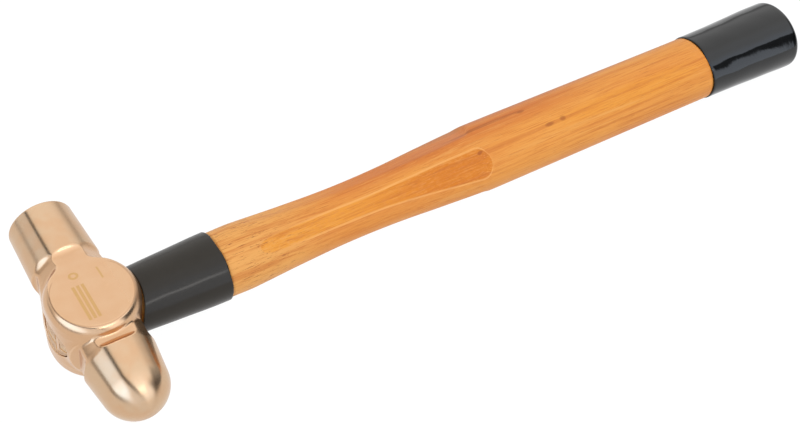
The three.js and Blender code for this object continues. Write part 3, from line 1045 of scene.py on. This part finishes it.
def dip_coat(name):
    """The butt's glossy black dip, with a faint orange peel."""
    material, t = new_material(name)
    p = place(t)
    cloud = t.noise(p, 0.3, 3)
    orange_peel = t.noise(p, 0.55, 2)
    surface(
        t,
        Base_Color=t.mix(cloud, (0.0010, 0.0010, 0.0009, 1), (0.0022, 0.0021, 0.0018, 1)),
        Roughness=t.math("ADD", 0.05, t.times(cloud, 0.05)),
        IOR=1.5,
        Normal=t.bump(orange_peel, 0.05, 0.35),
    )
    return material


def end_wood(name, pale):
    """Sawn end grain of the tenon, or the eye wedge."""
    material, t = new_material(name)
    p = place(t)
    rings = t.noise(t.stretched(p, (0.3, 0.5, 2.4)), 1.0, 4, 0.6, 0.5)
    dark, light = (srgb(168, 128, 92), srgb(204, 164, 124))
    if pale:
        dark, light = (srgb(176, 138, 100), srgb(210, 172, 130))
    surface(
        t,
        Base_Color=t.mix(t.within(rings, 0.35, 0.65), dark, light),
        Roughness=t.math("ADD", 0.5, t.times(rings, 0.2)),
        Normal=t.bump(rings, 0.08, 0.5),
    )
    return material


# ---------- pieces ----------

head = make_head()
handle = make_handle()
eye_wedge, cross_wedges = make_wedges()
sleeve = make_sleeve()
dip = make_dip()

head.data.materials.append(bronze("bronze_satin", False))
head.data.materials.append(bronze("bronze_turned", True))
handle.data.materials.append(hickory("hickory_lacquered"))
handle.data.materials.append(end_wood("hickory_end_grain", False))
eye_wedge.data.materials.append(end_wood("wedge_wood_sawn", True))
sleeve.data.materials.append(rubber("sleeve_rubber_matt"))
dip.data.materials.append(dip_coat("dip_coat_gloss"))
wedge_bronze = bronze("wedge_bronze_dull", False)
for cross in cross_wedges:
    cross.data.materials.append(wedge_bronze)

for face in handle.data.polygons:
    centre = (face.center - EYE) / MM
    on_crown = math.hypot(centre.x, centre.y) > -TENON_END_X - 0.2
    if on_crown and centre.x < 0:
        face.material_index = 1
        face.use_smooth = False

for piece, slot, node in (
    (head, "bronze", "hammer_head"),
    (handle, "hickory", "handle"),
    (eye_wedge, "wedge_wood", "eye_wedge"),
    (cross_wedges[0], "wedge_bronze", "cross_wedge_near"),
    (cross_wedges[1], "wedge_bronze", "cross_wedge_far"),
    (sleeve, "sleeve_rubber", "overstrike_sleeve"),
    (dip, "dip_coat", "butt_dip"),
):
    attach(piece, "root")
    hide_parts(node)


# ---------- stage, light and camera ----------

def make_floor():
    """A pale sheet that runs out of view, so that it reads as a plain white ground."""
    mesh = bpy.data.meshes.new("floor")
    reach = 12.0
    corners = [(-reach, -reach, 0), (reach, -reach, 0), (reach, reach, 0), (-reach, reach, 0)]
    mesh.from_pydata(corners, [], [(0, 1, 2, 3)])
    floor = link_object("floor", mesh)
    floor.location.z = cad_low.z
    material, t = new_material("floor_pale")
    surface(
        t,
        Base_Color=(0.06, 0.06, 0.06, 1),
        Roughness=0.9,
        Specular_IOR_Level=0.0,
        Emission_Color=(1, 1, 1, 1),
        Emission_Strength=0.97,
    )
    mesh.materials.append(material)


CEILING_LEVEL = 1.3
PANEL_LEVEL = 0.92
STRIP_LEVEL = 4.5
NEUTRAL_LIGHT = (1, 1, 1, 1)
COOL_LIGHT = (0.75, 1.0, 1.38, 1)


def make_world():
    """A studio round the hammer, which only its reflections and shading show.

    Regions are shares of the direction: lean_x and lean_y on a plane overhead, across on a wall
    at the near side. Each step runs between two of those shares.
    """
    world = bpy.data.worlds.new("studio")
    world.use_nodes = True
    bpy.context.scene.world = world
    t = Tree(world.node_tree)
    x, y, z = split(t, t.add("ShaderNodeTexCoord").outputs["Generated"])
    up = t.math("MAXIMUM", z, 0.004)
    lean_x = t.math("DIVIDE", x, up)
    lean_y = t.math("DIVIDE", y, up)
    across = t.math("DIVIDE", x, t.math("MAXIMUM", t.math("MULTIPLY", y, -1.0), 0.02))
    seam = t.math("ADD", lean_x, t.times(lean_y, 0.2))

    # a wide softbox overhead, brighter toward the near side
    near_glow = t.times(t.within(lean_y, 0.3, -0.1), 0.2)
    nearer_glow = t.times(t.within(lean_y, -0.2, -0.7), 0.3)
    ceiling = t.math("ADD", CEILING_LEVEL, t.math("ADD", near_glow, nearer_glow))

    # a second panel beyond the seam, on the head's side
    left = t.within(seam, -0.50, -0.54)
    hot = t.times(t.within(x, -0.40, -0.72), t.within(y, 0.42, 0.12), t.within(z, 0.16, 0.26), 1.6)
    panel = t.math("ADD", PANEL_LEVEL, hot)
    panel = t.math("MAXIMUM", panel, t.times(t.within(y, 0.2, -0.1), 1.25))

    # a narrow bright strip at the near side
    strip = t.times(
        t.within(lean_y, -1.06, -1.12),
        t.within(lean_y, -1.40, -1.34),
        t.within(lean_x, -0.5, -0.3),
        t.within(lean_x, 0.6, 0.4),
    )

    # dark flags: a near one, the gap along the seam, low on the left, the right and the rear
    flag = t.times(t.within(across, 0.80, 0.88), t.within(lean_y, -0.74, -0.80))
    gap = t.times(t.within(seam, -0.72, -0.60), t.within(seam, -0.41, -0.45), t.within(z, 0.1, 0.3))
    low_left = t.times(
        t.within(x, -0.60, -0.85), t.within(z, 0.24, 0.16), t.within(z, -0.15, -0.02)
    )
    right = t.times(
        t.within(lean_x, 0.9, 1.7), t.within(y, 0.35, 0.05), t.within(across, 0.8, 1.1)
    )
    rear = t.times(t.within(lean_x, 1.0, 6.0), t.within(y, 0.05, 0.35))

    light = t.math("ADD", ceiling, t.times(left, t.math("SUBTRACT", panel, ceiling)))
    light = t.math("ADD", light, t.times(strip, STRIP_LEVEL))
    for shade, depth in ((flag, 0.9), (gap, 0.97), (low_left, 0.55), (right, 0.7), (rear, 0.55)):
        light = t.times(light, t.math("SUBTRACT", 1.0, t.times(shade, depth)))

    # the brightest parts are cooler, except the strip
    cool_panel = t.times(left, t.within(panel, 1.2, 2.2))
    cool_ceiling = t.times(
        t.within(ceiling, 1.3, 1.9), t.math("SUBTRACT", 0.35, t.times(strip, 0.35))
    )
    tint = t.mix(t.math("MAXIMUM", cool_panel, cool_ceiling), NEUTRAL_LIGHT, COOL_LIGHT)
    seen = t.add("ShaderNodeLightPath").outputs["Is Camera Ray"]
    studio = t.add("ShaderNodeBackground", {"Color": tint, "Strength": light})
    backdrop = t.add("ShaderNodeBackground", {"Color": NEUTRAL_LIGHT, "Strength": 1.0})
    both = t.add("ShaderNodeMixShader", {0: seen, 1: studio.outputs[0], 2: backdrop.outputs[0]})
    t.add("ShaderNodeOutputWorld", {"Surface": both.outputs[0]})


def add_fill(name, at, size, power):
    """A soft area light that shades matt surfaces and isn't mirrored in polished ones."""
    data = bpy.data.lights.new(name, "AREA")
    data.shape = "SQUARE"
    data.size = size
    data.energy = power
    lamp = link_object(name, data)
    lamp.location = at
    lamp.rotation_mode = "QUATERNION"
    lamp.rotation_quaternion = Vector(at).to_track_quat("Z", "Y")
    lamp.visible_glossy = False
    lamp.visible_camera = False


VIEW_AZIMUTH = math.radians(-39.86)
VIEW_ELEVATION = math.radians(51.21)
VIEW_ROLL = math.radians(10.12)
CAMERA_FROM_EYE = Vector((-0.11915, -0.3032, 0.4760))
CAMERA_LENS = 69.8
CAMERA_SENSOR_WIDTH = 36.0


def make_camera():
    """The camera above the head's near side, looking down along the handle and rolled a little."""
    data = bpy.data.cameras.new("camera")
    data.lens = CAMERA_LENS
    data.sensor_width = CAMERA_SENSOR_WIDTH
    data.clip_start = 0.01
    camera = link_object("camera", data)
    a, e, r = VIEW_AZIMUTH, VIEW_ELEVATION, VIEW_ROLL
    back = Vector((math.sin(a) * math.cos(e), -math.cos(a) * math.cos(e), math.sin(e)))
    level = Vector((math.cos(a), math.sin(a), 0))
    up = back.cross(level)
    right = level * math.cos(r) + up * math.sin(r)
    up = up * math.cos(r) - level * math.sin(r)
    turn = Matrix((right, up, back)).transposed().to_4x4()
    camera.matrix_world = Matrix.Translation(EYE + CAMERA_FROM_EYE) @ turn
    bpy.context.scene.camera = camera


make_floor()
make_world()
add_fill("fill_above", (-0.1, -0.35, 1.1), size=1.2, power=3.0)
make_camera()
bpy.context.scene.view_settings.view_transform = "Standard"
